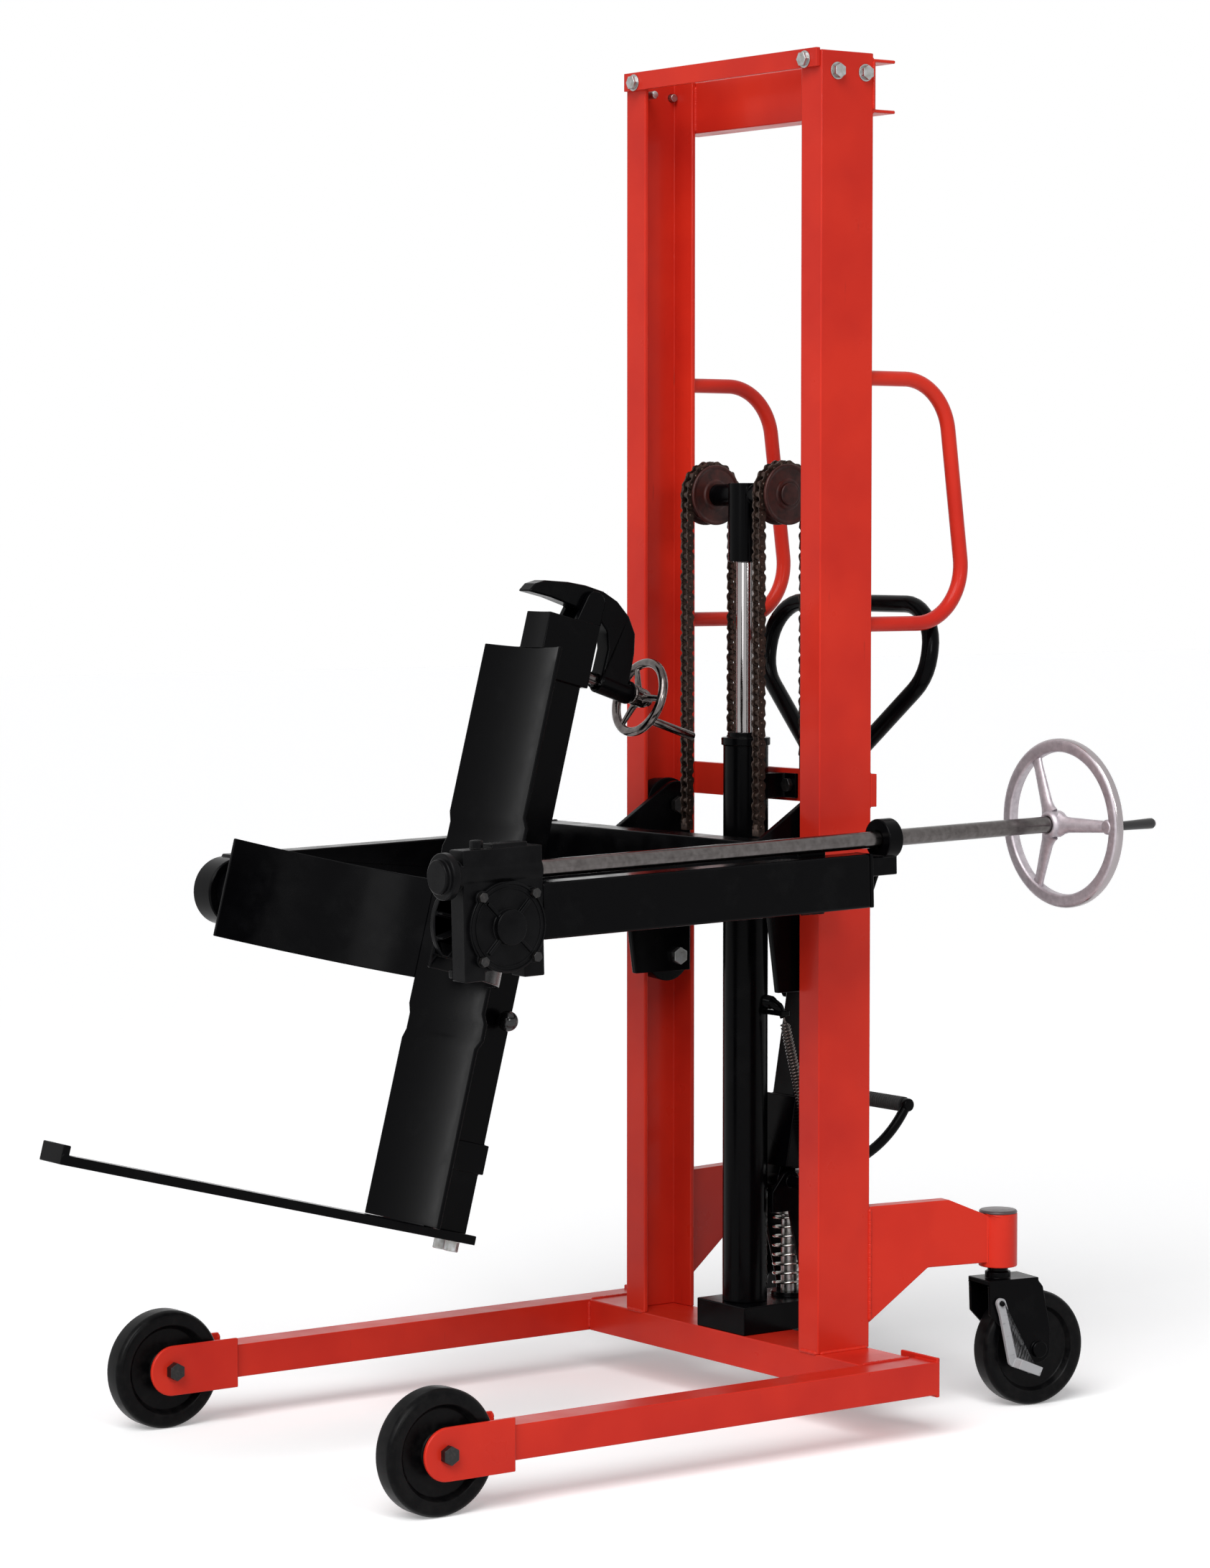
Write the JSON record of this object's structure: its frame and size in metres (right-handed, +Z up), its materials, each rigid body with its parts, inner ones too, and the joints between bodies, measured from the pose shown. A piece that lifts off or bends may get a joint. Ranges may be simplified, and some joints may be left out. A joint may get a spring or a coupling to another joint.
{
  "type": "drum tipper",
  "caption": "Wheeled mast truck that lifts a steel drum with chains and tips it forward with a hand-cranked worm gear.",
  "frame": {"origin": "on the floor, on the centre plane, under the front faces of the mast's uprights", "axes": "+X to the operator's left, +Y to the rear where the operator stands, +Z up"},
  "size_m": [0.9015, 1.6667, 2.077],
  "materials": {
    "red_paint": "gloss",
    "black_paint": "gloss",
    "black_casting": "satin",
    "bright_steel": "satin",
    "chrome_rod": "polished",
    "chain_steel": "oiled",
    "sheave_iron": "satin",
    "cast_aluminium": "satin",
    "wheel_nylon": "satin",
    "knob_plastic": "gloss",
    "grip_rubber": "matte",
    "gear_bronze": "satin",
    "grey_paint": "satin"
  },
  "bodies": {
    "chassis": {"leg_left": "red_paint", "leg_right": "red_paint", "base_crossmember": "red_paint", "upright_left": "red_paint", "upright_right": "red_paint", "top_tie_bar": "red_paint", "top_crossbar": "red_paint", "mid_crossbar": "red_paint", "push_handle_left": "red_paint", "push_handle_right": "red_paint", "rear_arm_left": "red_paint", "rear_arm_right": "red_paint", "frame_bolts": "bright_steel", "lift_cylinder": "black_paint", "cylinder_clamp": "black_paint", "pump_block": "black_paint", "chain_rear_strands": "chain_steel", "pump_spring": "bright_steel", "return_spring": "bright_steel"},
    "lift_rod": {"piston_rod": "chrome_rod", "crosshead": "black_paint", "chain_wraps": "chain_steel"},
    "sheave_l": {"sheave_left": "sheave_iron"},
    "sheave_r": {"sheave_right": "sheave_iron"},
    "carriage": {"carriage_plates": "black_paint", "carriage_beam": "black_paint", "arm_left": "black_paint", "arm_right": "black_paint", "gearbox_housing": "black_casting", "gearbox_cover": "black_casting", "carriage_bolts": "bright_steel", "shaft_bearing": "black_paint", "chain_front_strands": "chain_steel"},
    "upper_rollers": {"rollers_upper": "black_casting"},
    "lower_rollers": {"rollers_lower": "black_casting"},
    "drive": {"drive_shaft": "bright_steel", "tilt_handwheel": "cast_aluminium"},
    "crank": {"crank_grip": "knob_plastic"},
    "cradle": {"drum_saddle": "black_paint", "back_bar": "black_paint", "bottom_arm": "black_paint", "tilt_hub": "black_casting", "worm_wheel": "gear_bronze"},
    "hook": {"clamp_hook": "black_paint"},
    "screw": {"clamp_screw": "bright_steel"},
    "clamp_wheel": {"clamp_handwheel": "cast_aluminium"},
    "latch": {"latch_knob": "knob_plastic"},
    "front_wheel_l": {"front_wheel_left": "wheel_nylon"},
    "front_wheel_r": {"front_wheel_right": "wheel_nylon"},
    "caster_l": {"caster_fork_left": "black_paint"},
    "caster_r": {"caster_fork_right": "black_paint"},
    "caster_wheel_l": {"caster_wheel_left": "wheel_nylon"},
    "caster_wheel_r": {"caster_wheel_right": "wheel_nylon"},
    "brake_l": {"caster_brake_left": "grey_paint"},
    "brake_r": {"caster_brake_right": "grey_paint"},
    "tiller": {"tiller": "black_paint"},
    "release": {"release_lever": "black_paint"},
    "plunger": {"pump_plunger": "bright_steel"},
    "pedal": {"pedal": "black_paint", "pedal_grip": "grip_rubber"}
  },
  "joints": [
    {"name": "rod_slide", "type": "slide", "parent": "chassis", "child": "lift_rod", "axis": [0, 0, 1], "range_m": [-0.13, 0.42], "deforming": ["chain_rear_strands"]},
    {"name": "carriage_slide", "type": "slide", "parent": "lift_rod", "child": "carriage", "axis": [0, 0, 1], "range_m": [-0.13, 0.42], "deforming": ["chain_front_strands"]},
    {"name": "sheave_left_spin", "type": "hinge", "parent": "lift_rod", "child": "sheave_l", "pos_m": [0.09, 0.05, 1.415], "axis": [1, 0, 0], "continuous": true},
    {"name": "sheave_right_spin", "type": "hinge", "parent": "lift_rod", "child": "sheave_r", "pos_m": [-0.09, 0.05, 1.415], "axis": [1, 0, 0], "continuous": true},
    {"name": "upper_roller_spin", "type": "hinge", "parent": "carriage", "child": "upper_rollers", "pos_m": [0, 0.05, 0.926], "axis": [1, 0, 0], "continuous": true},
    {"name": "lower_roller_spin", "type": "hinge", "parent": "carriage", "child": "lower_rollers", "pos_m": [0, 0.05, 0.686], "axis": [1, 0, 0], "continuous": true},
    {"name": "tilt", "type": "hinge", "parent": "carriage", "child": "cradle", "pos_m": [0, -0.668, 0.812], "axis": [1, 0, 0], "range_deg": [0, 134.6]},
    {"name": "drive_spin", "type": "hinge", "parent": "carriage", "child": "drive", "pos_m": [0.3615, -0.00203, 0.9033], "axis": [0, 0.9997, 0.0244], "continuous": true},
    {"name": "crank_grip_spin", "type": "hinge", "parent": "drive", "child": "crank", "pos_m": [0.4675, 0.38285, 0.9127], "axis": [0, 0.9997, 0.0244], "continuous": true},
    {"name": "hook_pivot", "type": "hinge", "parent": "cradle", "child": "hook", "pos_m": [0, -0.25692, 1.25157], "axis": [1, 0, 0], "range_deg": [-12, 0]},
    {"name": "screw_slide", "type": "slide", "parent": "hook", "child": "screw", "axis": [0, 0.9478, -0.319], "range_m": [0, 0.03]},
    {"name": "clamp_wheel_spin", "type": "hinge", "parent": "screw", "child": "clamp_wheel", "pos_m": [0, -0.20845, 1.12424], "axis": [0, 0.9478, -0.319], "continuous": true},
    {"name": "latch_pull", "type": "slide", "parent": "cradle", "child": "latch", "axis": [1, 0, 0], "range_m": [0, 0.012], "stiffness_N_per_m": 900},
    {"name": "front_left_roll", "type": "hinge", "parent": "chassis", "child": "front_wheel_l", "pos_m": [0.369, -0.782, 0.09], "axis": [1, 0, 0], "continuous": true},
    {"name": "front_right_roll", "type": "hinge", "parent": "chassis", "child": "front_wheel_r", "pos_m": [-0.369, -0.782, 0.09], "axis": [1, 0, 0], "continuous": true},
    {"name": "caster_left_swivel", "type": "hinge", "parent": "chassis", "child": "caster_l", "pos_m": [0.265, 0.341, 0.26], "axis": [0, 0, 1], "continuous": true},
    {"name": "caster_left_roll", "type": "hinge", "parent": "caster_l", "child": "caster_wheel_l", "pos_m": [0.27376, 0.39631, 0.09], "axis": [0.9877, -0.1564, 0], "continuous": true},
    {"name": "brake_left_tread", "type": "hinge", "parent": "caster_l", "child": "brake_l", "pos_m": [0.2625, 0.3252, 0.168], "axis": [0.9877, -0.1564, 0], "range_deg": [-14, 0]},
    {"name": "caster_right_swivel", "type": "hinge", "parent": "chassis", "child": "caster_r", "pos_m": [-0.265, 0.341, 0.26], "axis": [0, 0, 1], "continuous": true},
    {"name": "caster_right_roll", "type": "hinge", "parent": "caster_r", "child": "caster_wheel_r", "pos_m": [-0.27376, 0.39631, 0.09], "axis": [0.9877, 0.1564, 0], "continuous": true},
    {"name": "brake_right_tread", "type": "hinge", "parent": "caster_r", "child": "brake_r", "pos_m": [-0.2625, 0.3252, 0.168], "axis": [0.9877, 0.1564, 0], "range_deg": [-14, 0]},
    {"name": "tiller_swing", "type": "hinge", "parent": "chassis", "child": "tiller", "pos_m": [0, 0.112, 0.345], "axis": [1, 0, 0], "range_deg": [-45, 0]},
    {"name": "release_squeeze", "type": "hinge", "parent": "tiller", "child": "release", "pos_m": [0, 0.21646, 0.95614], "axis": [1, 0, 0], "range_deg": [-6, 0], "stiffness_Nm_per_rad": 6},
    {"name": "pump_stroke", "type": "slide", "parent": "chassis", "child": "plunger", "axis": [0, 0, 1], "range_m": [-0.0225, 0], "deforming": ["pump_spring"]},
    {"name": "pedal_tread", "type": "hinge", "parent": "chassis", "child": "pedal", "pos_m": [0, 0.112, 0.345], "axis": [1, 0, 0], "range_deg": [-20, 0], "stiffness_Nm_per_rad": 25, "deforming": ["return_spring"]}
  ],
  "couplings": [
    {"joint": "carriage_slide", "follows": "rod_slide", "ratio": 1},
    {"joint": "drive_spin", "follows": "tilt", "ratio": 60},
    {"joint": "screw_slide", "follows": "hook_pivot", "m_per_rad": -0.13},
    {"joint": "pump_stroke", "follows": "tiller_swing", "m_per_rad": 0.028}
  ]
}
